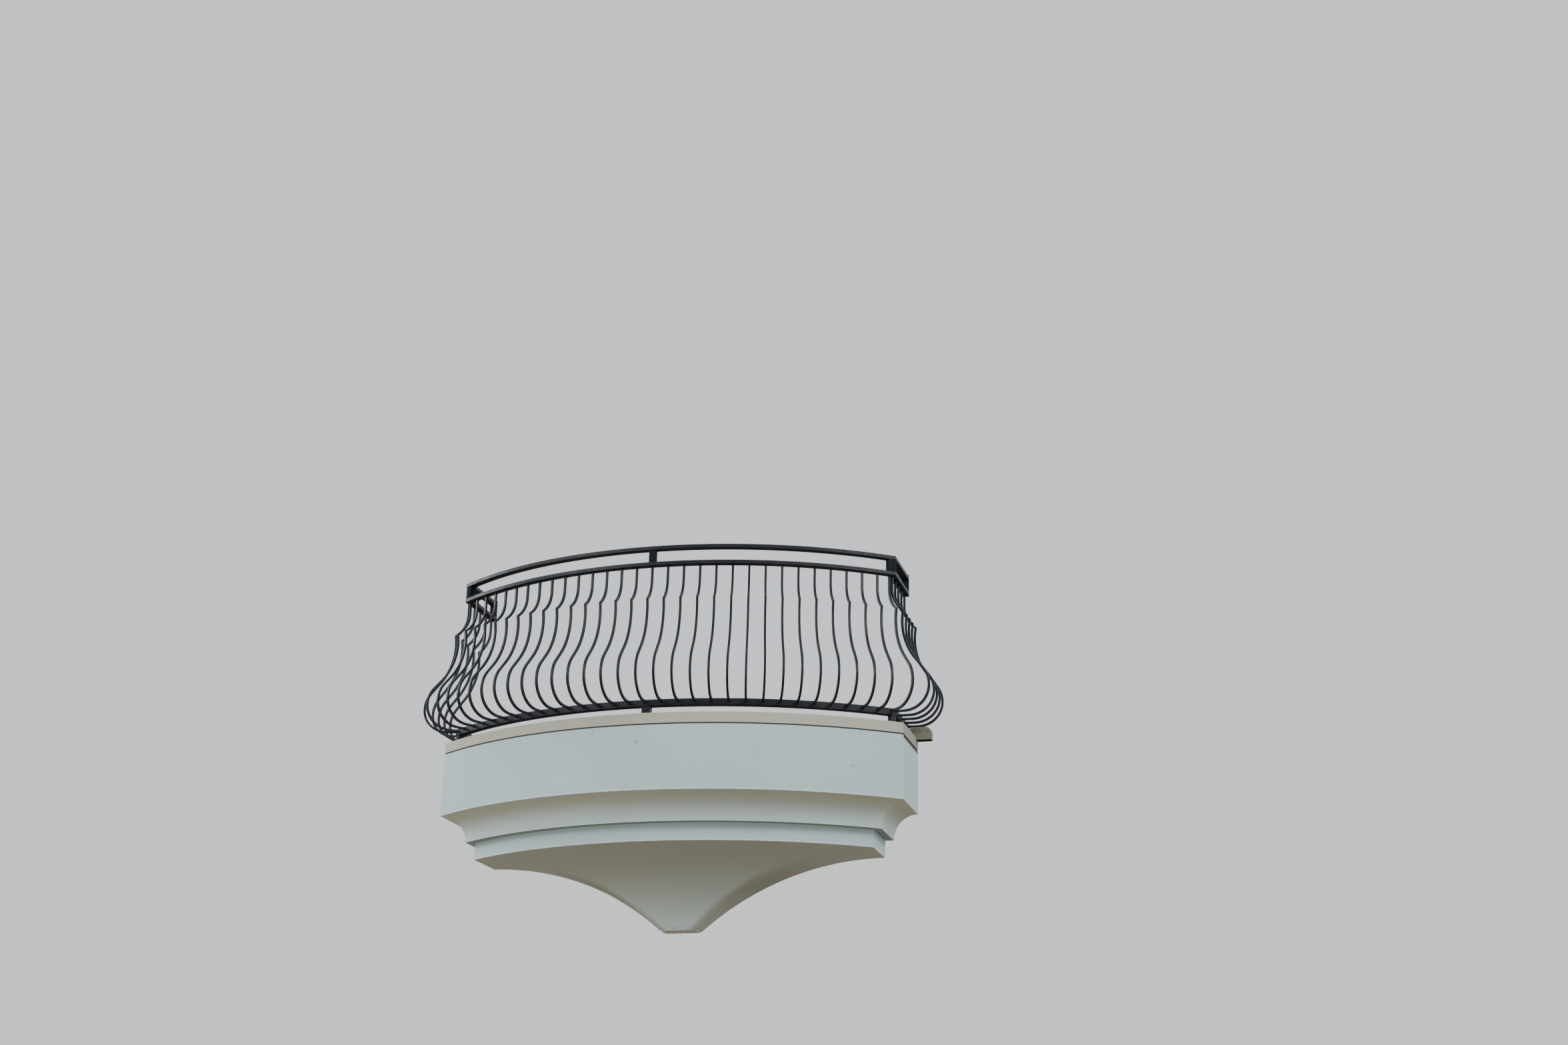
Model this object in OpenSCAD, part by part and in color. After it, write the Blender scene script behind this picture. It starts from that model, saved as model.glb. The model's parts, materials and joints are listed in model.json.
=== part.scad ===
// Bowed balcony for a pair of tall glazed doors: a moulded stucco base with a
// flared corbel below it, and a belly railing of bent square bars.
// X runs along the wall, the balcony stands out towards -Y, +Z is up.
// The origin is in the middle of the base's flat back, on the wall face.

/* [Base] */
// width of the base along the wall
deck_w = 3040; // [2600:10:3400]
// length of the straight side, from the wall to the front corner
return_d = 457; // [350:1:600]
// how far the bowed front stands forward of its corners
bow_rise = 522; // [400:1:620]
// height of the coping band round the deck
coping_h = 66; // [50:1:100]
// width of the coping, seen from above
coping_w = 150; // [130:5:220]
// how far the deck floor lies below the top of the coping
floor_drop = 10; // [4:1:25]
// height of the tall plain band under the coping
drum_h = 408; // [300:1:550]
// height of the dark recessed line under the coping
reveal_h = 9; // [5:1:15]
// depth of the dark recessed line under the coping
reveal_d = 8; // [4:1:15]

/* [Lower mouldings] */
// radius of the hollow moulding under the plain band
cove_r = 152; // [100:1:180]
// height of the straight edge at the foot of the hollow moulding
cove_lip = 9; // [6:1:30]
// how far that straight edge is set back, so that it joins the curve cleanly
lip_in = 0.5; // [0.3:0.1:1]
// height of the thin upright edge where a hollow curve starts
start_lip = 4; // [2:0.5:8]
// step back from the hollow moulding to the lower band
band_step = 58; // [30:1:90]
// height of the lower band
band_h = 104; // [70:1:140]
// height of the flared corbel
bell_h = 447; // [350:1:520]
// width of the corbel's small flat tip
tip_w = 236; // [160:2:320]
// how far the tip stands out from the wall
tip_d = 130; // [90:1:180]

/* [Railing] */
// height of the top rail above the coping
guard_h = 1098; // [950:1:1200]
// distance from the base's outer face in to the middle of the rails
rail_in = 80; // [60:1:100]
// width of the rails and of the bottom bar, seen from above
rail_w = 50; // [40:1:56]
// height of the top rail and of the second rail
rail_h = 22; // [16:1:30]
// clear height between the top rail and the second rail
rail_gap = 83; // [60:1:110]
// height of the bottom bar
bar_h = 40; // [30:1:50]
// clear height between the coping and the bottom bar
bar_up = 58; // [40:1:80]
// length of the blocks between the two upper rails
block_l = 40; // [30:1:60]
// length of the feet under the bottom bar
foot_l = 54; // [40:1:70]
// how much narrower than the rails the blocks and feet are, on each side
block_in = 3; // [1:0.5:6]
// thickness of the plates that hold the rails to the wall
plate_t = 8; // [5:1:12]
// how far a wall plate reaches past the rails, above and below
plate_past = 10; // [5:1:20]

/* [Balusters] */
// thickness of the square baluster bar
bar_t = 14; // [11:0.5:17]
// number of balusters on each half of the front, without the middle and corner ones
front_half = 14; // [10:1:16]
// number of balusters on each side, with the one at the corner
side_count = 5; // [4:1:6]
// distance from the wall to the nearest baluster
wall_space = 30; // [26:1:50]
// clear space between the two balusters at each front corner
corner_gap = 6; // [5:1:20]
// how far these two are turned towards each other's side, in degrees
end_turn = 11; // [0:1:12]
// how far the sharp bend near the top lies below the second rail
kink_drop = 236; // [190:1:280]
// height of the curve that leads out to the sharp bend
kink_run = 144; // [110:1:170]
// how far the sharp bend stands out from the rail line
kink_out = 75; // [60:1:92]
// lean back towards the rail just below the sharp bend, in degrees
kink_lean = 10; // [4:1:14]
// radius of the hollow curve below the sharp bend
throat_r = 410; // [340:1:440]
// height above the coping of the fullest part of the belly
belly_h = 235; // [215:1:260]
// how far the belly stands out from the rail line
belly_out = 247; // [215:1:265]
// radius of the belly above its fullest part
belly_r = 180; // [155:1:215]
// length of the level stretch at a baluster's foot
foot_run = 65; // [20:1:80]

// least length of the straight slant between the hollow and the belly
min_slant = 50; // [30:5:80]
// how much thinner the straight stretches and the sharp bend's knuckle are
knuckle_in = 0.5; // [0.4:0.1:1.5]
// how far a straight stretch runs on into a bend
bend_lap = 3; // [2:0.5:5]

/* [Drain spout] */
// how far the spout reaches past the base's side
spout_past = 97; // [70:1:130]
// height of the spout above the coping
spout_h = 70; // [50:1:90]
// depth of the spout, out from the wall
spout_d = 62; // [50:1:90]
// radius of the spout's rounded upper corner
spout_r = 36; // [20:1:45]
// how far the spout hangs below the top of the coping
spout_drop = 12; // [8:1:20]
// wall left round the spout's open mouth
spout_wall = 8; // [5:1:14]
// depth of the hollow behind the spout's open mouth
spout_hollow = 45; // [30:1:60]

/* [Seating] */
// small overlap that seats one piece in the next
seat = 0.3; // [0.1:0.1:0.5]

/* [Hidden] */
// node to draw; "all" draws the whole balcony
round_fn = 144;
bend_fn = 72;
far = 4000;
half_w = deck_w / 2;
// radius of the bow and the place of its centre behind the wall
bow_r = (half_w * half_w + bow_rise * bow_rise) / (2 * bow_rise);
bow_y = bow_r - return_d - bow_rise;
// heights, measured from the middle of the plain band's back
deck_z = coping_h + drum_h / 2;
drum_top = deck_z - coping_h;
drum_z = drum_top - drum_h;
cove_z = drum_z - start_lip - cove_r - cove_lip;
band_z = cove_z - band_h;
tip_z = band_z - bell_h;
band_in = cove_r + band_step;
// the corbel's side and front curves start level and end at the tip
side_run = half_w - band_in - tip_w / 2;
curve_h = bell_h - start_lip;
side_r = (side_run * side_run + curve_h * curve_h) / (2 * curve_h);
front_run = bow_r - band_in - bow_y - tip_d;
front_r = (front_run * front_run + curve_h * curve_h) / (2 * curve_h);
// rail heights
top_z = deck_z + guard_h - rail_h;
second_z = top_z - rail_gap - rail_h;
bar_z = deck_z + bar_up;
end_z = bar_z + 0.62 * bar_h;
// front corner of the rail line, and the angle it makes at the bow's centre
line_r = bow_r - rail_in;
corner_a = asin((half_w - rail_in) / line_r);
corner_y = bow_y - line_r * cos(corner_a);
pitch_a = corner_a / (front_half + 1);
side_pitch = (-corner_y - wall_space) / (side_count - 1);
// angle round the bow of the last front baluster, just before the corner
last_a = corner_a - (bar_t + corner_gap) / line_r * 180 / PI;
// how far a turned baluster's foot goes into the bottom bar
turned_seat = rail_w / 2 - (rail_w / 2 - seat - bar_t / 2 * sin(end_turn)) / cos(end_turn);

stucco_cap = [0.78, 0.74, 0.67];
stucco_body = [0.72, 0.75, 0.75];
stucco_wall = [0.62, 0.57, 0.49];
floor_grey = [0.58, 0.57, 0.54];
iron = [0.13, 0.13, 0.14];

// width where a bowed outline set in by d meets its straight side
function edge_x(d) = half_w - d;
function edge_y(d) = bow_y - sqrt(pow(bow_r - d, 2) - pow(edge_x(d), 2));

// the balcony's outline in plan, set in by d all round
module plan(d = 0) {
  intersection() {
    translate([0, bow_y])
      circle(r = bow_r - d, $fn = 2 * round_fn);
    translate([-edge_x(d), -far])
      square([2 * edge_x(d), far]);
  }
}

// a band of plan outline between two insets
module plan_ring(d_out, d_in) {
  difference() {
    plan(d_out);
    translate([0, 1])
      plan(d_in);
    translate([-edge_x(d_in), -1])
      square([2 * edge_x(d_in), 2]);
  }
}

// everything in front of the two mitre lines through the rail's corners
module front_wedge(d_out, d_in) {
  slope = (edge_y(d_in) - edge_y(d_out)) / (d_in - d_out);
  reach = 300;
  polygon([
    [-edge_x(d_out) - reach, edge_y(d_out) - slope * reach],
    [-edge_x(d_in) + reach, edge_y(d_in) + slope * reach],
    [edge_x(d_in) - reach, edge_y(d_in) + slope * reach],
    [edge_x(d_out) + reach, edge_y(d_out) - slope * reach],
    [edge_x(d_out) + reach, -far],
    [-edge_x(d_out) - reach, -far]]);
}

// one stretch of rail: part is "front", "left" or "right"; a side stretch
// stops short of the wall by the distance given
module rail(part, z, h, short = 0) {
  w = rail_w;
  d_out = rail_in - w / 2;
  d_in = rail_in + w / 2;
  side = part == "left" ? -1 : 1;
  translate([0, 0, z])
    linear_extrude(height = h)
      if (part == "front")
        intersection() {
          plan_ring(d_out, d_in);
          front_wedge(d_out, d_in);
        }
      else
        difference() {
          intersection() {
            plan_ring(d_out, d_in);
            translate([side > 0 ? 0 : -far, -far - short])
              square([far, far]);
          }
          front_wedge(d_out, d_in);
        }
}

// a block under or between the rails, at one front corner
module corner_block(side, z, h, l) {
  translate([0, 0, z - seat])
    linear_extrude(height = h + 2 * seat)
      intersection() {
        plan_ring(rail_in - rail_w / 2 + block_in, rail_in + rail_w / 2 - block_in);
        translate([side * (half_w - rail_in), corner_y])
          circle(r = l, $fn = bend_fn);
      }
}

// a block under or between the rails, in the middle of the front
module middle_block(z, h, l) {
  d = rail_w - 2 * block_in;
  translate([-l / 2, bow_y - line_r - d / 2, z - seat])
    cube([l, d, h + 2 * seat]);
}

// outline of a bar bent to radius r, from angle a to angle b seen from its centre
module bend(centre, r, a, b) {
  far_out = 2 * r + 2 * bar_t;
  mid = (a + b) / 2;
  tip = far_out / cos((b - a) / 2);
  translate(centre)
    intersection() {
      difference() {
        circle(r = r + bar_t / 2, $fn = bend_fn);
        circle(r = r - bar_t / 2, $fn = bend_fn);
      }
      polygon([
        [0, 0],
        far_out * [cos(a), sin(a)],
        tip * [cos(mid), sin(mid)],
        far_out * [cos(b), sin(b)]]);
    }
}

// outline of a straight bar from one point to another, a hair thinner than the
// bends; it runs on past its ends by lap and lap_end, into the bends there
module run(from, to, lap = bend_lap, lap_end = bend_lap) {
  along = (to - from) / norm(to - from);
  across = [-along[1], along[0]] * (bar_t - knuckle_in) / 2;
  start = from - lap * along;
  end = to + lap_end * along;
  polygon([start - across, end - across, end + across, start + across]);
}

// the angle that one millimetre takes up on a bend of radius r
function one_mm(r) = 180 / (PI * r);

// one belly baluster, bending out along +X from the rail line at X = 0;
// sink is how far its foot goes into the bottom bar
module baluster(sink = seat) {
  kink = [kink_out, second_z - kink_drop];
  belly = [belly_out, deck_z + belly_h];
  foot = [rail_w / 2 - sink, end_z];
  heel = [rail_w / 2 + foot_run, end_z];
  // curve out to the sharp bend
  lead_a = 2 * atan2(kink[0], kink_run);
  lead_r = kink_run / sin(lead_a);
  lead = [lead_r, kink[1] + kink_run];
  // hollow below the bend, straight slant, and belly; both curves shrink
  // together where they would leave no room for the slant between them
  fall = [belly[0] - kink[0], kink[1] - belly[1]];
  wide = belly_r + throat_r * cos(kink_lean);
  deep = throat_r * sin(kink_lean);
  over = 2 * belly_r * throat_r * (1 - cos(kink_lean));
  fit = min(1, (fall * fall - min_slant * min_slant) / (2 * fall * [wide, deep] + over));
  hollow_r = fit * throat_r;
  upper_r = fit * belly_r;
  throat = kink + hollow_r * [cos(kink_lean), -sin(kink_lean)];
  upper = belly - [upper_r, 0];
  gap = upper - throat;
  both = hollow_r + upper_r;
  slant = sqrt(gap * gap - both * both);
  slant_a = atan2(gap[0], -gap[1]) + atan2(both, slant);
  side = [cos(slant_a), sin(slant_a)];
  // two arcs curl in from the belly to the level stretch at the foot
  half = sqrt(0.5);
  reach = belly[0] - heel[0];
  drop = belly[1] - heel[1];
  curl_r = (half * drop - (1 - half) * reach) / (2 * half - 1);
  tuck_r = (half * reach - (1 - half) * drop) / (2 * half - 1);
  curl = belly - [curl_r, 0];
  meet = curl + curl_r * [half, -half];
  tuck = meet - tuck_r * [half, -half];
  rotate([90, 0, 0])
    linear_extrude(height = bar_t, center = true)
      union() {
        run([0, second_z + seat], [0, lead[1]], 0);
        bend(lead, lead_r, 180 + one_mm(lead_r), 180 + lead_a);
        translate(kink)
          circle(d = bar_t - knuckle_in, $fn = 48);
        bend(throat, hollow_r, 180 - kink_lean, 180 + slant_a - one_mm(hollow_r));
        run(throat - hollow_r * side, upper + upper_r * side);
        bend(upper, upper_r, one_mm(upper_r), slant_a - one_mm(upper_r));
        run(belly + [0, 1], belly - [0, 1]);
        bend(curl, curl_r, one_mm(curl_r) - 45, -one_mm(curl_r));
        run(meet + [half, half], meet - [half, half]);
        bend(tuck, tuck_r, one_mm(tuck_r) - 90, -45 - one_mm(tuck_r));
        run(foot, heel, 0);
      }
}

// a baluster on the front, at angle a round the bow from the middle
module front_baluster(a) {
  translate([0, bow_y, 0])
    rotate([0, 0, a - 90])
      translate([line_r, 0, 0])
        baluster();
}

// a run of front balusters to one side of the middle
module front_balusters(side) {
  for (i = [1 : front_half])
    front_baluster(side * i * pitch_a);
}

// the balusters of one straight side; the last one stands at the rail's corner
// and is turned a little towards the front
module side_balusters(side) {
  for (i = [0 : side_count - 1]) {
    turn = i < side_count - 1 ? 0 : end_turn;
    translate([side * (half_w - rail_in), -wall_space - i * side_pitch, 0])
      rotate([0, 0, side * (90 - turn) - 90])
        baluster(turn > 0 ? turned_seat : seat);
  }
}

// the last baluster of the front, turned a little towards the side
module corner_baluster(side) {
  translate([0, bow_y, 0])
    rotate([0, 0, side * last_a - 90])
      translate([line_r, 0, 0])
        rotate([0, 0, side * end_turn])
          baluster(turned_seat);
}

// a plate on the wall that holds the ends of the two upper rails
module wall_plate(side) {
  translate([side * (half_w - rail_in) - rail_w / 2, -plate_t, second_z - plate_past])
    cube([rail_w, plate_t, top_z + rail_h - second_z + 2 * plate_past]);
}

// a front moulding: the profile given as a child turns round the bow's centre
module sweep_front() {
  translate([0, bow_y, 0])
    rotate([0, 0, -150])
      rotate_extrude(angle = 120, $fn = 2 * round_fn)
        children();
}

// a side moulding: the outline given as a child runs straight out from the wall
module sweep_sides() {
  rotate([90, 0, 0])
    linear_extrude(height = return_d + bow_rise + 100)
      children();
}

module coping() {
  color(stucco_cap)
    translate([0, 0, drum_top])
      linear_extrude(height = coping_h)
        plan_ring(0, coping_w);
}

module deck_floor() {
  color(floor_grey)
    translate([0, 0, drum_top])
      linear_extrude(height = coping_h - floor_drop)
        plan(coping_w);
}

module drum_band() {
  color(stucco_body)
    union() {
      translate([0, 0, drum_z])
        linear_extrude(height = drum_h - reveal_h)
          plan();
      translate([0, 0, drum_z])
        linear_extrude(height = drum_h)
          plan(reveal_d);
    }
}

// outline of the hollow moulding from its middle out to x = edge
module cove_outline(edge) {
  difference() {
    translate([0, cove_z + cove_lip])
      square([edge, cove_r + start_lip]);
    translate([edge, cove_z + cove_lip])
      circle(r = cove_r, $fn = round_fn);
  }
}

module cove_moulding() {
  color(stucco_body)
    union() {
      intersection() {
        sweep_front()
          cove_outline(bow_r);
        sweep_sides() {
          cove_outline(half_w);
          mirror([1, 0])
            cove_outline(half_w);
        }
      }
      translate([0, 0, cove_z])
        linear_extrude(height = 2 * cove_lip)
          plan(cove_r + lip_in);
    }
}

module lower_band() {
  color(stucco_body)
    translate([0, 0, band_z])
      linear_extrude(height = band_h)
        plan(band_in);
}

// outline of the corbel from its middle out to x = edge, curved at radius r
module bell_outline(edge, r) {
  difference() {
    translate([0, tip_z])
      square([edge, bell_h]);
    translate([edge, band_z - start_lip - r])
      circle(r = r, $fn = 2 * round_fn);
  }
}

module corbel_bell() {
  color(stucco_body)
    intersection() {
      sweep_front()
        bell_outline(bow_r - band_in, front_r);
      sweep_sides() {
        bell_outline(half_w - band_in, side_r);
        mirror([1, 0])
          bell_outline(half_w - band_in, side_r);
      }
    }
}

module drain_spout() {
  x_in = half_w - 40;
  x_out = half_w + spout_past;
  mouth = spout_past - 2 * spout_wall;
  hollow = min(spout_hollow, spout_drop + spout_h - spout_r);
  color(stucco_wall)
    difference() {
      translate([0, 0, deck_z])
        rotate([90, 0, 0])
          linear_extrude(height = spout_d)
            union() {
              translate([x_in, 0])
                square([x_out - spout_r - x_in, spout_h]);
              translate([x_out - spout_r, 0])
                square([spout_r, spout_h - spout_r]);
              translate([x_out - spout_r, spout_h - spout_r])
                circle(r = spout_r, $fn = bend_fn);
              translate([half_w, -spout_drop])
                square([spout_past, spout_drop + 1]);
            }
      translate([half_w + spout_wall, -spout_d + spout_wall, deck_z - spout_drop - 1])
        cube([mouth, spout_d - 2 * spout_wall, hollow + 1]);
    }
}

module top_rail_front() {
  color(iron)
    rail("front", top_z, rail_h);
}

module top_rail_left() {
  color(iron)
    rail("left", top_z, rail_h, plate_t - seat);
}

module top_rail_right() {
  color(iron)
    rail("right", top_z, rail_h, plate_t - seat);
}

module second_rail_front() {
  color(iron)
    rail("front", second_z, rail_h);
}

module second_rail_left() {
  color(iron)
    rail("left", second_z, rail_h, plate_t - seat);
}

module second_rail_right() {
  color(iron)
    rail("right", second_z, rail_h, plate_t - seat);
}

module bottom_bar_front() {
  color(iron)
    rail("front", bar_z, bar_h);
}

module bottom_bar_left() {
  color(iron)
    rail("left", bar_z, bar_h);
}

module bottom_bar_right() {
  color(iron)
    rail("right", bar_z, bar_h);
}

module rail_block_centre() {
  color(iron)
    middle_block(second_z + rail_h, rail_gap, block_l);
}

module rail_block_left() {
  color(iron)
    corner_block(-1, second_z + rail_h, rail_gap, block_l);
}

module rail_block_right() {
  color(iron)
    corner_block(1, second_z + rail_h, rail_gap, block_l);
}

module wall_plate_left() {
  color(iron)
    wall_plate(-1);
}

module wall_plate_right() {
  color(iron)
    wall_plate(1);
}

module foot_centre() {
  color(iron)
    middle_block(deck_z, bar_up, foot_l);
}

module foot_left() {
  color(iron)
    corner_block(-1, deck_z, bar_up, foot_l / 2);
}

module foot_right() {
  color(iron)
    corner_block(1, deck_z, bar_up, foot_l / 2);
}

module balusters_front_left() {
  color(iron)
    front_balusters(-1);
}

module balusters_front_right() {
  color(iron)
    front_balusters(1);
}

module baluster_centre() {
  color(iron)
    front_baluster(0);
}

module baluster_corner_left() {
  color(iron)
    corner_baluster(-1);
}

module baluster_corner_right() {
  color(iron)
    corner_baluster(1);
}

module balusters_side_left() {
  color(iron)
    side_balusters(-1);
}

module balusters_side_right() {
  color(iron)
    side_balusters(1);
}

coping();
deck_floor();
drum_band();
cove_moulding();
lower_band();
corbel_bell();
drain_spout();
top_rail_front();
top_rail_left();
top_rail_right();
second_rail_front();
second_rail_left();
second_rail_right();
bottom_bar_front();
bottom_bar_left();
bottom_bar_right();
rail_block_centre();
rail_block_left();
rail_block_right();
wall_plate_left();
wall_plate_right();
foot_centre();
foot_left();
foot_right();
balusters_front_left();
balusters_front_right();
baluster_centre();
baluster_corner_left();
baluster_corner_right();
balusters_side_left();
balusters_side_right();
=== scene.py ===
"""Dresses the balcony: stucco and iron finishes, a softened corbel, weld beads,
studio light and the photograph's camera."""

import json
import math

import bpy
from mathutils import Matrix, Vector, noise


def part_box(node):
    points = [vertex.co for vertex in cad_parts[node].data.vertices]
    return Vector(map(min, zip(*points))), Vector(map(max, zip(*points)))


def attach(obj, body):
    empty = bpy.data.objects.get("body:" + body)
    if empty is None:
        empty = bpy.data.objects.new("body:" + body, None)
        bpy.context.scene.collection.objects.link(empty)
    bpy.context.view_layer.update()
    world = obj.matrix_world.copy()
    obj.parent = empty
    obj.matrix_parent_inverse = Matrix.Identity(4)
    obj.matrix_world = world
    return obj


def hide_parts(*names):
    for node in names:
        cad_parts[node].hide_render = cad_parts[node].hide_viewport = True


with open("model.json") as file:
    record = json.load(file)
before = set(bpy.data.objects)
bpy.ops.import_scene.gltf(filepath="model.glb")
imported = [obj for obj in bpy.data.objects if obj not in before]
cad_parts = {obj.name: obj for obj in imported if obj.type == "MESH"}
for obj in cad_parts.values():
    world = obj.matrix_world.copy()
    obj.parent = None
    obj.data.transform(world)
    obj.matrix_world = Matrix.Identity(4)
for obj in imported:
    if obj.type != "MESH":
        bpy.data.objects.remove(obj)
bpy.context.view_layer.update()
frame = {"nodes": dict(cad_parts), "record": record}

# The boxes of the CAD nodes give most sizes, in metres. Each is rounded to the
# tenth of a millimetre


def top(node):
    return round(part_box(node)[1].z, 4)


def bottom(node):
    return round(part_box(node)[0].z, 4)


def right_end(node):
    return round(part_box(node)[1].x, 4)


def front(node):
    return round(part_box(node)[0].y, 4)


HALF_W = right_end("coping")
DECK_Z = top("coping")
DRUM_TOP = top("drum_band")
DRUM_Z = bottom("drum_band")
COVE_Z = bottom("cove_moulding")
BAND_Z = bottom("lower_band")
BAND_IN = HALF_W - right_end("lower_band")
TIP_Z = bottom("corbel_bell")
SECOND_RAIL_Z = bottom("second_rail_front")
BAR_Z = bottom("bottom_bar_front")
BAR_T = 2 * right_end("baluster_centre")
FOOT_Z = bottom("baluster_centre") + BAR_T / 2
SPOUT_END = right_end("drain_spout")
SPOUT_Y = front("drain_spout")

# The rest repeat the CAD model's own dimensions: the depth of the straight
# sides, and how far the bow stands out from them
RETURN_D = 0.457
BOW_RISE = 0.522
BOW_R = (HALF_W**2 + BOW_RISE**2) / (2 * BOW_RISE)
BOW_Y = BOW_R - RETURN_D - BOW_RISE
# the recessed line under the coping
REVEAL_H = 0.010
# the corbel's small flat tip, and the drop at its top before the flare starts
TIP_W = 0.236
TIP_D = 0.130
START_LIP = 0.004
# the rails' line, in from the edge of the base, and their width
RAIL_IN = 0.080
RAIL_W = 0.050
# balusters between the middle one and each front corner, and on each side
FRONT_HALF = 14
SIDE_COUNT = 5
# the first baluster's distance from the wall, the clear gap between the two at
# each front corner, and how far those two are turned towards each other's side
WALL_SPACE = 0.030
CORNER_GAP = 0.006
END_TURN = math.radians(11)
# the wall round the drain spout's mouth, half the height of the hollow behind
# it, and how far above the deck its middle is
SPOUT_WALL = 0.008
SPOUT_HOLLOW_HALF = 0.023
SPOUT_HOLLOW_UP = 0.005


def shade(colour, by):
    """A colour made darker, or lighter where by is over 1."""
    return tuple(min(1.0, c * by) for c in colour)


class Look:
    """A node material, built up in steps. A tint lies over the tone so far, and
    a bump over the relief so far."""

    # the places of a Mix node's colour sockets
    MIX_A, MIX_B, MIX_RESULT = 6, 7, 2

    def __init__(self, name, specular):
        self.material = bpy.data.materials.new(name)
        self.material.use_nodes = True
        self.tree = self.material.node_tree
        self.shader = self.tree.nodes["Principled BSDF"]
        self.shader.inputs["Specular IOR Level"].default_value = specular
        self.place = self.add("ShaderNodeTexCoord").outputs["Object"]
        self.at = self.split(self.place)
        self.facing = self.split(self.add("ShaderNodeNewGeometry").outputs["Normal"])
        self.tone = None
        self.relief = None

    def add(self, kind, **settings):
        node = self.tree.nodes.new(kind)
        for key, value in settings.items():
            setattr(node, key, value)
        return node

    def feed(self, value, socket):
        """Link another node's output to a socket, or set a number or colour on it."""
        if isinstance(value, bpy.types.NodeSocket):
            self.tree.links.new(value, socket)
        elif isinstance(value, tuple) and len(value) < len(socket.default_value):
            socket.default_value = (*value, 1.0)
        else:
            socket.default_value = value

    def split(self, vector):
        """The outputs X, Y and Z of a vector."""
        node = self.add("ShaderNodeSeparateXYZ")
        self.feed(vector, node.inputs[0])
        return node.outputs

    def calc(self, operation, a, b=0.0, clamp=False):
        node = self.add("ShaderNodeMath", operation=operation, use_clamp=clamp)
        self.feed(a, node.inputs[0])
        self.feed(b, node.inputs[1])
        return node.outputs[0]

    def times(self, value, *others):
        for other in others:
            value = self.calc("MULTIPLY", value, other)
        return value

    def plus(self, a, b, clamp=False):
        return self.calc("ADD", a, b, clamp)

    def away(self, value, level):
        """How far a value is from a level, either way."""
        return self.calc("ABSOLUTE", self.calc("SUBTRACT", value, level))

    def between(self, value, start, full):
        """0 up to start, 1 from full on; start may be above full."""
        node = self.add("ShaderNodeMapRange", interpolation_type="SMOOTHSTEP")
        self.feed(value, node.inputs["Value"])
        node.inputs["From Min"].default_value = min(start, full)
        node.inputs["From Max"].default_value = max(start, full)
        node.inputs["To Min"].default_value = 0.0 if start < full else 1.0
        node.inputs["To Max"].default_value = 1.0 if start < full else 0.0
        return node.outputs["Result"]

    def noise(self, scale, detail=3.0, rough=0.5, stretch=(1.0, 1.0, 1.0)):
        mapping = self.add("ShaderNodeMapping")
        self.feed(self.place, mapping.inputs["Vector"])
        mapping.inputs["Scale"].default_value = stretch
        node = self.add("ShaderNodeTexNoise")
        self.feed(mapping.outputs[0], node.inputs["Vector"])
        node.inputs["Scale"].default_value = scale
        node.inputs["Detail"].default_value = detail
        node.inputs["Roughness"].default_value = rough
        return node.outputs["Fac"]

    def patches(self, scale, start, full, **kind):
        """Noise made into patches, which show where it is above start."""
        return self.between(self.noise(scale, **kind), start, full)

    def at_height(self, level, inner, outer):
        """1 within inner of a height, 0 from outer on."""
        return self.between(self.away(self.at["Z"], level), outer, inner)

    def near(self, point, inner, outer):
        """1 within inner of a point, 0 from outer on."""
        node = self.add("ShaderNodeVectorMath", operation="DISTANCE")
        self.feed(self.place, node.inputs[0])
        node.inputs[1].default_value = point
        return self.between(node.outputs["Value"], outer, inner)

    def mix(self, share, a, b):
        """Colour a where the share is 0, and b where it is 1."""
        node = self.add("ShaderNodeMix", data_type="RGBA")
        self.feed(share, node.inputs[0])
        self.feed(a, node.inputs[self.MIX_A])
        self.feed(b, node.inputs[self.MIX_B])
        return node.outputs[self.MIX_RESULT]

    def tint(self, colour, *shares):
        """Lay a colour over the tone so far, by the product of the shares."""
        self.tone = self.mix(self.times(*shares), self.tone, colour)

    def bump(self, height, depth):
        """Lay a bump of this depth in metres over the relief so far."""
        node = self.add("ShaderNodeBump")
        node.inputs["Strength"].default_value = 1.0
        node.inputs["Distance"].default_value = depth
        self.feed(height, node.inputs["Height"])
        if self.relief is not None:
            self.feed(self.relief, node.inputs["Normal"])
        self.relief = node.outputs["Normal"]

    def finish(self, roughness):
        self.feed(self.tone, self.shader.inputs["Base Color"])
        self.feed(self.relief, self.shader.inputs["Normal"])
        self.feed(roughness, self.shader.inputs["Roughness"])
        return self.material


# colours are linear red, green and blue
# a grime tone for the stains and marks, which also gives the painted shade in slots, hollows and
# undersides
GRIME_AND_SHADE = (0.150, 0.130, 0.105)
MORTAR_DARK = (0.30, 0.28, 0.25)
MORTAR_LIGHT = (0.42, 0.40, 0.36)


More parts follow.
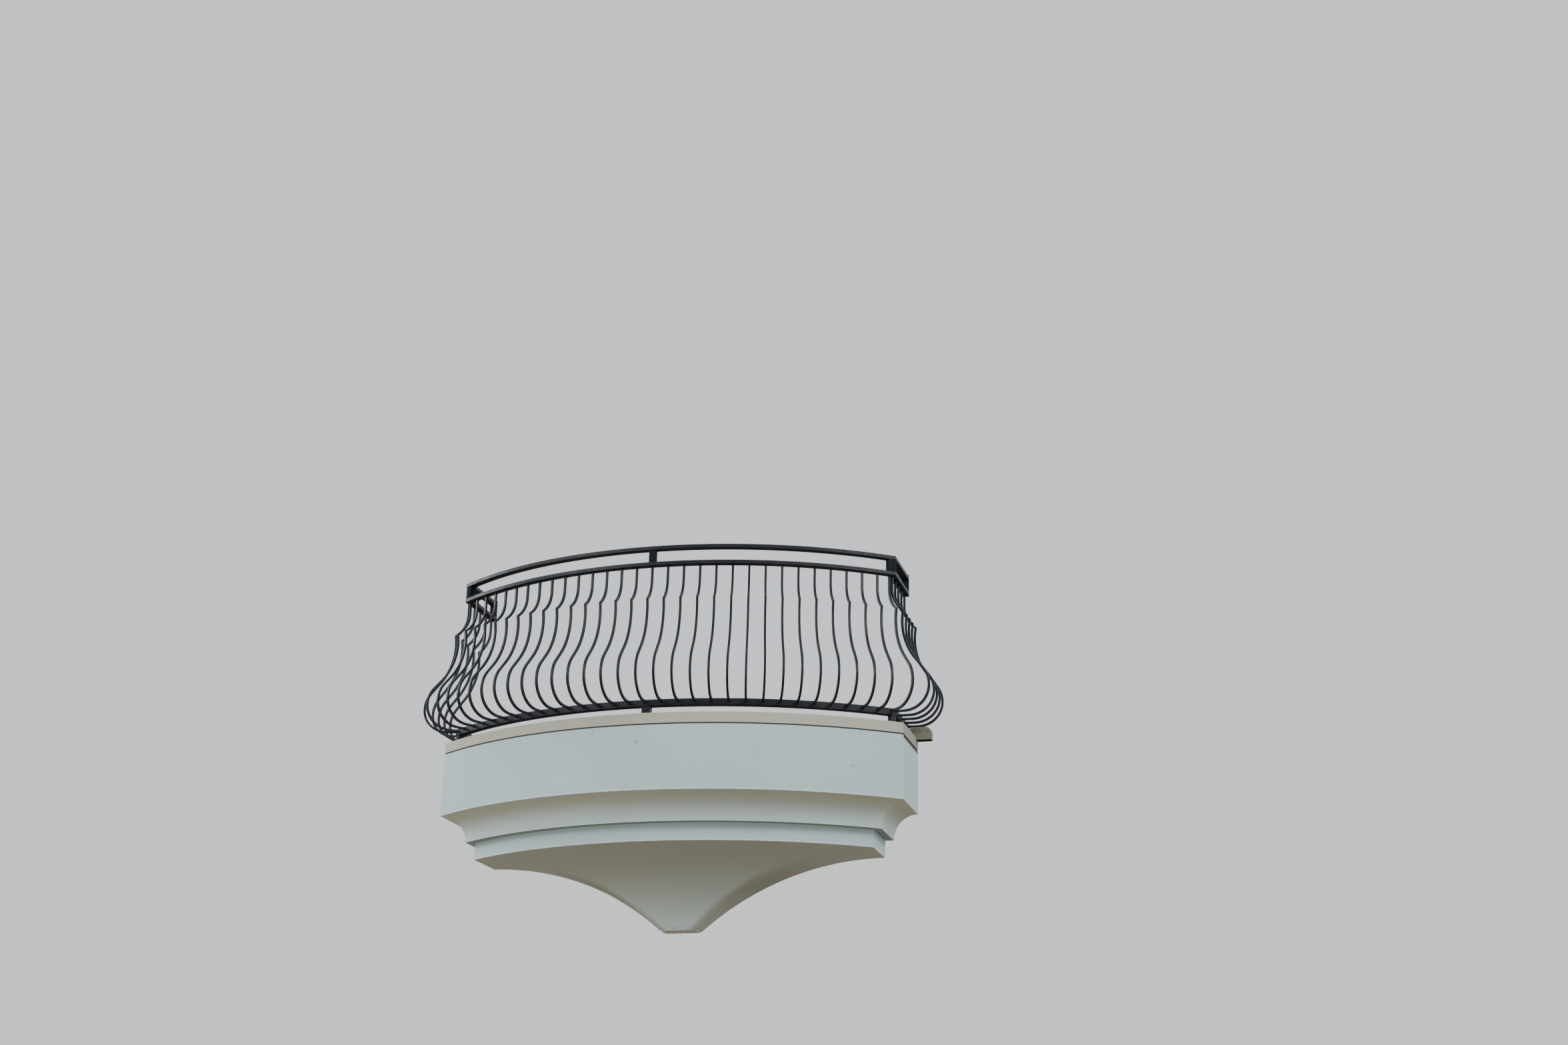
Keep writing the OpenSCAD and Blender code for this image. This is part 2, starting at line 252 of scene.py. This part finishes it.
class Stucco(Look):
    """Smooth sanded stucco: a cloudy tone, painted shade on the undersides and a rough back."""

    # how far drips run down, and noise stretched along them
    DRIP_RUN = 0.30
    DRIP_STRETCH = (17.0, 17.0, 0.9)
    # the comb's level furrows in the mortar coat
    COMB_STRETCH = (6.0, 6.0, 190.0)
    COMB_DEPTH = 0.004

    def __init__(self, name, colour, dark_tone, under, under_low=None):
        super().__init__(name, specular=0.28)
        self.colour, self.dark_tone = colour, dark_tone
        self.sideways = self.calc("ABSOLUTE", self.facing["X"])
        cloud = self.patches(1.3, start=0.35, full=0.68, detail=4.0)
        self.tone = self.mix(cloud, shade(colour, 0.965), shade(colour, 1.03))
        blotch = self.patches(9.0, start=0.52, full=0.75, detail=5.0, rough=0.62)
        self.tint(shade(colour, 0.84), blotch, 0.16)
        # painted shade: undersides get a warmer, darker tone, and those
        # below the lower band may have a tone of their own
        leaning = self.between(self.facing["Z"], 0.0, -0.35)
        self.tint(shade(under, 1.35), leaning, 0.22)
        beneath = self.between(self.facing["Z"], -0.28, -1.0)
        if under_low:
            below_band = self.between(self.at["Z"], BAND_Z + 0.03, BAND_Z - 0.01)
            under = self.mix(below_band, under, under_low)
        self.tint(under, beneath, 0.80)

    def paint_flank_shade(self, colour):
        """Painted shade: below the lower band the two flanks are darker, less so near the tip.
        """
        flank = self.between(self.sideways, 0.15, 0.45)
        above_tip = self.between(self.at["Z"], TIP_Z + 0.08, TIP_Z + 0.30)
        below_band = self.between(self.at["Z"], BAND_Z, BAND_Z - 0.01)
        self.tint(shade(colour, 0.5), flank, above_tip, below_band, 0.40)

    def paint_soffit_shade(self, level, colour):
        """Painted shade: gives the flat underside at this height a darker tone of its own."""
        beneath = self.between(self.facing["Z"], -0.90, -0.98)
        here = self.at_height(level, inner=0.003, outer=0.006)
        self.tint(colour, beneath, here, 0.85)

    def paint_end_shade(self, by):
        """Painted shade: the two ends, which face sideways, are made darker."""
        self.tint(shade(self.colour, by), self.between(self.sideways, 0.75, 0.97), 0.85)

    def stain_below(self, level):
        """Faint drips that run down from an edge."""
        drip = self.patches(1.0, start=0.56, full=0.78, stretch=self.DRIP_STRETCH)
        fading = self.between(self.at["Z"], level - self.DRIP_RUN, level)
        below = self.between(self.at["Z"], level + 0.004, level)
        self.tint(self.dark_tone, drip, fading, below, 0.10)

    def paint_arris_highlight(self, level):
        """A painted highlight: a light, broken line along an edge that runs round at this
        height.
        """
        line = self.at_height(level, inner=0.002, outer=0.006)
        broken = self.patches(30.0, start=0.30, full=0.55)
        not_beneath = self.between(self.facing["Z"], -0.85, -0.60)
        self.tint(shade(self.colour, 1.30), line, broken, not_beneath, 0.75)

    def paint_slot_shadow(self, low, low_at_ends, high):
        """Painted shadow in the slot between two heights, which reaches lower at the two ends.
        """
        end = self.between(self.sideways, 0.75, 0.90)
        start = self.plus(low, self.times(end, low_at_ends - low))
        over = self.between(self.calc("SUBTRACT", self.at["Z"], start), 0.0, 0.002)
        under = self.between(self.at["Z"], high, high - 0.001)
        strength = self.plus(self.times(end, 0.14), 0.84)
        self.tint(shade(self.dark_tone, 0.35), over, under, strength)

    def mark(self, point, size, strength):
        """A small ragged dark spot."""
        ragged = self.patches(260.0, start=0.38, full=0.60)
        spot = self.near(point, size * 0.45, size)
        self.tint(shade(self.dark_tone, 0.7), spot, ragged, strength)

    def paint_hollow_shade(self, centre, half):
        """Painted shade: the inside of an opening, as a box about its centre, made near black.
        """
        inside = [self.between(self.away(self.at[axis], middle), reach + 0.003, reach + 0.001)
                  for axis, middle, reach in zip("XYZ", centre, half)]
        self.tint(shade(self.dark_tone, 0.08), *inside, 0.95)

    def finish(self, sand, trowel):
        """Adds the back, which is left as a combed mortar coat against the wall,
        and the relief: sand and trowel are the depths of grain and waves."""
        back = self.between(self.facing["Y"], 0.90, 0.97)
        lighter = self.patches(14.0, start=0.35, full=0.70, detail=5.0)
        self.tint(self.mix(lighter, MORTAR_DARK, MORTAR_LIGHT), back)
        self.bump(self.noise(2.6), trowel * 2.5)
        self.bump(self.noise(34.0, detail=4.0), trowel)
        self.bump(self.noise(430.0), sand)
        comb = self.noise(1.0, detail=2.0, stretch=self.COMB_STRETCH)
        self.bump(self.times(comb, back), self.COMB_DEPTH)
        return super().finish(self.plus(self.times(self.noise(55.0), 0.16), 0.78))


def on_front(x, z):
    """The point on the base's bowed front at this place across and height."""
    return (x, BOW_Y - math.sqrt(BOW_R**2 - x**2), z)


def on_spout(past, up):
    """The point on the drain spout's front, this far past the base and above the deck."""
    return (HALF_W + past, SPOUT_Y, DECK_Z + up)


def body_stucco():
    """The painted base: the plain band, the mouldings under it and the corbel."""
    # under and corbel are painted shade: the tones of the undersides, and of the undersides and
    # flanks below the lower band
    colour, under, corbel = (0.449, 0.548, 0.552), (0.345, 0.305, 0.208), (0.213, 0.179, 0.122)
    look = Stucco("stucco_body", colour, GRIME_AND_SHADE, under, under_low=corbel)
    # painted shade on the corbel's flanks
    look.paint_flank_shade(corbel)
    # painted shade on the cove's flat underside
    look.paint_soffit_shade(COVE_Z, (0.172, 0.180, 0.160))
    look.stain_below(DRUM_TOP - REVEAL_H)
    # painted highlights along the lower edges and round the tip
    for level in (DRUM_Z, COVE_Z, BAND_Z, TIP_Z + 0.006):
        look.paint_arris_highlight(level)
    # painted shadow in the slot under the coping
    look.paint_slot_shadow(DRUM_TOP - REVEAL_H, DRUM_TOP - 0.026, DRUM_TOP + 0.010)
    # one dark spot, and three that make a scuff
    look.mark(on_front(-0.035, 0.090), size=0.0130, strength=0.85)
    look.mark(on_front(1.2424, -0.0240), size=0.0065, strength=0.95)
    look.mark(on_front(1.2399, -0.0345), size=0.0065, strength=0.80)
    look.mark(on_front(1.2550, -0.0300), size=0.0070, strength=0.80)
    return look.finish(sand=0.0009, trowel=0.0009)


def cap_stucco():
    """The beige coping."""
    # its undersides take a darker painted shade
    look = Stucco("stucco_cap", (0.425, 0.408, 0.335), GRIME_AND_SHADE, under=shade(GRIME_AND_SHADE, 0.5))
    # painted shade on the coping's two ends
    look.paint_end_shade(0.68)
    look.stain_below(DECK_Z)
    # a painted highlight along the coping's top edge
    look.paint_arris_highlight(DECK_Z)
    return look.finish(sand=0.0011, trowel=0.0008)


def wall_stucco():
    """The drain spout, of the wall's own coarse stucco, with dark spots and painted shade in its
    mouth.
    """
    colour, dark_tone = (0.205, 0.190, 0.145), shade(GRIME_AND_SHADE, 0.4)
    # its undersides take a near-black painted shade
    look = Stucco("stucco_wall", colour, dark_tone, under=shade(GRIME_AND_SHADE, 0.15))
    look.stain_below(DECK_Z + 0.02)
    look.stain_below(DECK_Z + 0.05)
    look.mark(on_spout(-0.013, 0.046), size=0.010, strength=0.90)
    look.mark(on_spout(0.023, 0.042), size=0.009, strength=0.90)
    look.mark(on_spout(0.029, 0.034), size=0.007, strength=0.75)
    look.mark(on_spout(0.073, 0.045), size=0.009, strength=0.80)
    # painted shade in the hollow behind the spout's mouth
    middle = ((HALF_W + SPOUT_END) / 2, SPOUT_Y / 2, DECK_Z + SPOUT_HOLLOW_UP)
    half = ((SPOUT_END - HALF_W) / 2 - SPOUT_WALL, -SPOUT_Y / 2 - SPOUT_WALL, SPOUT_HOLLOW_HALF)
    look.paint_hollow_shade(middle, half)
    return look.finish(sand=0.0022, trowel=0.0030)


def deck_cement():
    """The deck floor: grey cement with darker damp patches and pores."""
    colour, dark_tone = (0.290, 0.283, 0.262), (0.130, 0.120, 0.100)
    look = Look("deck_floor", specular=0.3)
    cloud = look.patches(2.2, start=0.35, full=0.70, detail=5.0, rough=0.6)
    look.tone = look.mix(cloud, shade(colour, 0.86), shade(colour, 1.10))
    look.tint(dark_tone, look.patches(6.0, start=0.50, full=0.72, detail=6.0, rough=0.65), 0.55)
    look.tint(shade(dark_tone, 0.6), look.patches(150.0, start=0.62, full=0.72, detail=2.0), 0.4)
    look.bump(look.noise(18.0, detail=4.0), 0.0020)
    look.bump(look.noise(300.0), 0.0012)
    return look.finish(0.9)


def painted_iron(name, specular, least_rough):
    """Dark satin paint on wrought iron, with dust on top faces and a brown bloom
    at the welds and at the foot of the railing."""
    paint, worn = (0.0115, 0.0142, 0.0200), (0.0220, 0.0212, 0.0225)
    dust, rust = (0.110, 0.100, 0.085), (0.070, 0.034, 0.020)
    look = Look(name, specular)
    up, height = look.facing["Z"], look.at["Z"]
    thin = look.patches(7.0, start=0.40, full=0.72, detail=5.0, rough=0.6)
    look.tone = look.mix(thin, paint, worn)
    dusty = look.patches(24.0, start=0.30, full=0.66, detail=4.0)
    look.tint(dust, look.between(up, 0.45, 0.95), dusty, 0.30)
    # painted shade: the paint is made darker where it faces down
    look.tint(shade(paint, 0.35), look.between(up, -0.10, -0.60), 0.75)
    at_foot = look.times(look.between(height, BAR_Z + 0.20, BAR_Z - 0.01), 0.75)
    at_weld = look.times(look.between(height, SECOND_RAIL_Z - 0.03, SECOND_RAIL_Z), 0.45)
    likely = look.plus(look.plus(at_foot, at_weld, clamp=True), 0.04, clamp=True)
    rusty = look.times(look.patches(42.0, start=0.55, full=0.70, detail=5.0, rough=0.68), likely)
    look.tint(rust, rusty, 0.5)
    look.bump(look.noise(26.0), 0.00100)
    look.bump(look.noise(240.0), 0.00045)
    rough = look.plus(look.times(look.noise(38.0, detail=4.0), 0.22), least_rough)
    rough = look.plus(rough, look.times(rusty, 0.30))
    beneath = look.between(up, -0.60, -0.90)
    return look.finish(look.plus(rough, look.times(beneath, 0.5), clamp=True))


looks = {
    "stucco_body": body_stucco(),
    "stucco_cap": cap_stucco(),
    "stucco_wall": wall_stucco(),
    "deck_floor": deck_cement(),
    "iron": painted_iron("iron", specular=0.16, least_rough=0.30),
    "iron_dull": painted_iron("iron_dull", specular=0.02, least_rough=0.60),
}

# the blocks between the rails and the wall plates are duller than the rails
DULL_NODES = ("rail_block", "wall_plate")

slot_of = {part["node"]: part["material_slot"] for part in frame["record"]["subparts"]}
for name, node in frame["nodes"].items():
    finish = "iron_dull" if name.startswith(DULL_NODES) else slot_of[name]
    for material_slot in node.material_slots:
        material_slot.material = looks[finish]


def add_piece(name, points, faces, look, sharp):
    """A mesh piece in the row frame, which rides on the one body. It is shaded
    smooth where its faces meet at less than the sharp angle, in degrees."""
    mesh = bpy.data.meshes.new(name)
    mesh.from_pydata([tuple(p) for p in points], [], faces)
    mesh.validate()
    mesh.shade_smooth()
    mesh.set_sharp_from_angle(angle=math.radians(sharp))
    piece = bpy.data.objects.new(name, mesh)
    bpy.context.scene.collection.objects.link(piece)
    mesh.materials.append(looks[look])
    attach(piece, "root")
    return piece


def ring_faces(rings, n):
    """Quads that join neighbouring rings of n points each."""
    faces = []
    for k in range(rings - 1):
        for i in range(n):
            a, b = k * n + i, k * n + (i + 1) % n
            faces.append((a, b, b + n, a + n))
    return faces


def corbel_levels(count):
    """Heights down the corbel, with its half width and the bow's radius at each."""
    edge = HALF_W - BAND_IN
    run, fall = edge - TIP_W / 2, BAND_Z - START_LIP - TIP_Z
    side_r = (run**2 + fall**2) / (2 * fall)
    front_edge = BOW_R - BAND_IN
    front_run = front_edge - BOW_Y - TIP_D
    front_r = (front_run**2 + fall**2) / (2 * fall)
    end = math.asin(run / side_r)
    yield BAND_Z, edge, front_edge
    for i in range(count + 1):
        turn = end * i / count
        drop = side_r * (1 - math.cos(turn))
        width = edge - side_r * math.sin(turn)
        radius = front_edge - math.sqrt(max(front_r**2 - (front_r - drop) ** 2, 0.0))
        yield BAND_Z - START_LIP - drop, width, radius


def corbel_outline(width, radius, round_r, side_n=10, corner_n=14, front_n=44):
    """Right half mirrored to the left: straight side, rounded corner, bowed front."""
    centre_x = width - round_r
    centre_y = BOW_Y - math.sqrt((radius - round_r) ** 2 - centre_x**2)
    turn = math.atan2(centre_x, BOW_Y - centre_y)
    right = [(width, centre_y * i / side_n) for i in range(side_n)]
    for i in range(corner_n):
        a = (turn - math.pi / 2) * i / corner_n
        right.append((centre_x + round_r * math.cos(a), centre_y + round_r * math.sin(a)))
    for i in range(front_n // 2 + 1):
        a = turn * (1 - 2 * i / front_n)
        right.append((radius * math.sin(a), BOW_Y - radius * math.cos(a)))
    return right + [(-x, y) for x, y in reversed(right[:-1])]


CORBEL_RINGS = 64
# the corbel's corner radius at its top, and how it grows: over this fall, to
# this share of the corbel's half width or depth there, whichever is less
CORNER_R = 0.003
CORNER_FALL = 0.16
CORNER_SHARE = 0.46
# the worn edge round the tip: its height, how far it draws in, and the chips
TIP_EDGE_H = 0.005
TIP_EDGE_IN = 0.965
CHIP_DEPTH = 0.006
CHIPS_PER_M = 38


def soft_corbel():
    """The flared corbel, whose front turns softly into its sides and whose tip
    is a little chipped."""
    rings = []
    for z, width, radius in corbel_levels(CORBEL_RINGS):
        depth = math.sqrt(radius**2 - width**2) - BOW_Y
        share = min(1.0, (BAND_Z - z) / CORNER_FALL)
        ease = share * share * (3 - 2 * share)
        soft = CORNER_R + (CORNER_SHARE * min(depth, width) - CORNER_R) * ease
        rings.append((z, corbel_outline(width, radius, soft)))
    z, outline = rings.pop()
    drawn_in = [(x * TIP_EDGE_IN, y * TIP_EDGE_IN) for x, y in outline]
    rings += [(z + TIP_EDGE_H, outline), (z, drawn_in)]
    points = []
    for k, (z, outline) in enumerate(rings):
        depth = CHIP_DEPTH if k >= len(rings) - 2 else 0.0
        for x, y in outline:
            spot = Vector((x * CHIPS_PER_M, y * CHIPS_PER_M, k * 0.7))
            chip = depth * max(0.0, noise.noise(spot))
            keep = 1 - chip / (math.hypot(x, y) or 1.0)
            points.append((x * keep, y * keep, z))
    n = len(rings[0][1])
    last = len(points) - n
    faces = [tuple(reversed(face)) for face in ring_faces(len(rings), n)]
    faces += [tuple(reversed(range(n))), tuple(range(last, last + n))]
    return points, faces


corbel = add_piece("corbel_soft", *soft_corbel(), "stucco_body", sharp=32.0)
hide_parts("corbel_bell")


def outward(angle):
    """The level direction at this angle from straight out of the wall, towards +X."""
    return Vector((math.sin(angle), -math.cos(angle), 0))


def baluster_frames():
    """For every baluster, its place on the rails' line, the direction that it
    bends out in, and the way that the rail faces there."""
    line_r = BOW_R - RAIL_IN
    corner_a = math.asin((HALF_W - RAIL_IN) / line_r)
    corner_y = BOW_Y - line_r * math.cos(corner_a)
    centre = Vector((0, BOW_Y, 0))
    for i in range(-FRONT_HALF, FRONT_HALF + 1):
        face = outward(corner_a * i / (FRONT_HALF + 1))
        yield centre + face * line_r, face, face
    last_a = corner_a - (BAR_T + CORNER_GAP) / line_r
    pitch = (-corner_y - WALL_SPACE) / (SIDE_COUNT - 1)
    for side in (-1, 1):
        face = outward(side * last_a)
        yield centre + face * line_r, outward(side * (last_a + END_TURN)), face
        for i in range(SIDE_COUNT):
            turn = END_TURN if i == SIDE_COUNT - 1 else 0.0
            place = Vector((side * (HALF_W - RAIL_IN), -WALL_SPACE - i * pitch, 0))
            yield place, outward(side * (math.pi / 2 - turn)), Vector((side, 0, 0))


# a bead's rise up the bar and spread over the face round it, how uneven it is,
# and how far the middle of each of its sides swells out
BEAD_RISE = 0.0035
BEAD_SPREAD = 0.0045
BEAD_UNEVEN = 0.35
BEAD_SWELL = 1.15


def weld_bead(centre, normal, across, seed):
    """A small uneven fillet weld round a square bar that leaves a face along normal."""
    other = normal.cross(across)
    half, mid = BAR_T / 2, BEAD_SWELL
    around = [(1, 1), (0, mid), (-1, 1), (-mid, 0), (-1, -1), (0, -mid), (1, -1), (mid, 0)]
    # out from the bar and up from the face: at the bar, half way down, at the face
    profile = ((0.0, BEAD_RISE), (BEAD_SPREAD * 0.45, BEAD_RISE * 0.65), (BEAD_SPREAD, 0.0))
    points = []
    for k, (out, lift) in enumerate(profile):
        for j, (a, b) in enumerate(around):
            spot = Vector((seed * 3.1 + j * 0.9, k * 1.7, seed))
            wobble = 1 + BEAD_UNEVEN * noise.noise(spot)
            reach = min(half, half / max(abs(a), abs(b))) + out * wobble
            aside = across * (a * reach) + other * (b * reach)
            points.append(centre + aside + normal * (lift * wobble))
    return points, ring_faces(len(profile), len(around))


def all_welds():
    """Beads where each baluster meets the second rail and the bottom bar."""
    points, faces = [], []
    down = Vector((0, 0, -1))
    for number, (start, out, face) in enumerate(baluster_frames()):
        rail_point = start + Vector((0, 0, SECOND_RAIL_Z))
        bar_point = start + out * (RAIL_W / 2 / out.dot(face)) + Vector((0, 0, FOOT_Z))
        ends = ((rail_point, down, out, number), (bar_point, face, face, number + 0.5))
        for centre, normal, aim, seed in ends:
            across = Vector((-aim.y, aim.x, 0))
            bead_points, bead_faces = weld_bead(centre, normal, across, seed)
            faces += [tuple(v + len(points) for v in quad) for quad in bead_faces]
            points += bead_points
    return points, faces


add_piece("weld_beads", *all_welds(), "iron", sharp=60.0)


def add_stage():
    """A pale floor well below the balcony, as the camera looks up at it."""
    far, low = 45.0, -4.4
    corners = [(-far, -far, low), (far, -far, low), (far, far, low), (-far, far, low)]
    mesh = bpy.data.meshes.new("studio_floor")
    mesh.from_pydata(corners, [], [(0, 1, 2, 3)])
    floor = bpy.data.objects.new("studio_floor", mesh)
    bpy.context.scene.collection.objects.link(floor)
    look = Look("studio_floor", specular=0.2)
    look.tone = look.mix(look.noise(0.4, detail=2.0), (0.41, 0.395, 0.355), (0.44, 0.425, 0.385))
    # a little lighter on the left, where the photograph's ground throws more light up
    look.tint((0.58, 0.555, 0.495), look.between(look.at["X"], 5.0, -5.0))
    look.bump(look.noise(5.0), 0.001)
    mesh.materials.append(look.finish(0.9))


def add_area_light(name, place, target, size, power, colour):
    light = bpy.data.lights.new(name, "AREA")
    light.shape = "DISK"
    light.size = size
    light.energy = power
    light.color = colour
    holder = bpy.data.objects.new(name, light)
    holder.location = place
    aim = Vector(target) - Vector(place)
    holder.rotation_euler = aim.to_track_quat("-Z", "Y").to_euler()
    bpy.context.scene.collection.objects.link(holder)


def add_light():
    """An even pale sky, a soft light from the left and one from the right, and
    a third that puts a sheen on the left end of the rails."""
    world = bpy.data.worlds.new("studio")
    world.use_nodes = True
    back = world.node_tree.nodes["Background"]
    back.inputs["Color"].default_value = (0.80, 0.83, 0.86, 1.0)
    back.inputs["Strength"].default_value = 1.1
    bpy.context.scene.world = world
    middle, rail_end = (0, -0.6, 0), (-1.0, -0.8, 1.2)
    add_area_light("key", (-7.5, -9.0, 5.0), middle, size=5.0, power=625.0,
                   colour=(0.96, 0.98, 1.0))
    add_area_light("fill", (9.0, -6.0, 5.5), middle, size=5.0, power=740.0,
                   colour=(0.94, 0.97, 1.0))
    add_area_light("sheen", (-8.0, -0.6, 3.4), rail_end, size=2.6, power=265.0,
                   colour=(0.95, 0.97, 1.0))


def add_camera():
    """The photograph's view: from the lower right, looking up, over a frame of 2352 by 1568."""
    place = Vector((4.039, -12.838, -2.960))
    focal_px, frame_px, sensor_mm = 3154.0, 2352.0, 36.0
    yaw, pitch, roll = (math.radians(a) for a in (14.95, 19.74, 1.11))
    level_right = Vector((math.cos(yaw), math.sin(yaw), 0))
    level_ahead = Vector((-math.sin(yaw), math.cos(yaw), 0))
    up = Vector((0, 0, 1))
    ahead = math.cos(pitch) * level_ahead + math.sin(pitch) * up
    over = -math.sin(pitch) * level_ahead + math.cos(pitch) * up
    right = math.cos(roll) * level_right + math.sin(roll) * over
    above = -math.sin(roll) * level_right + math.cos(roll) * over
    turned = Matrix((right, above, -ahead)).transposed().to_4x4()
    data = bpy.data.cameras.new("camera")
    data.sensor_width = sensor_mm
    data.lens = sensor_mm * focal_px / frame_px
    data.clip_end = 200.0
    camera = bpy.data.objects.new("camera", data)
    camera.matrix_world = Matrix.Translation(place) @ turned
    bpy.context.scene.collection.objects.link(camera)
    bpy.context.scene.camera = camera


add_stage()
add_light()
add_camera()
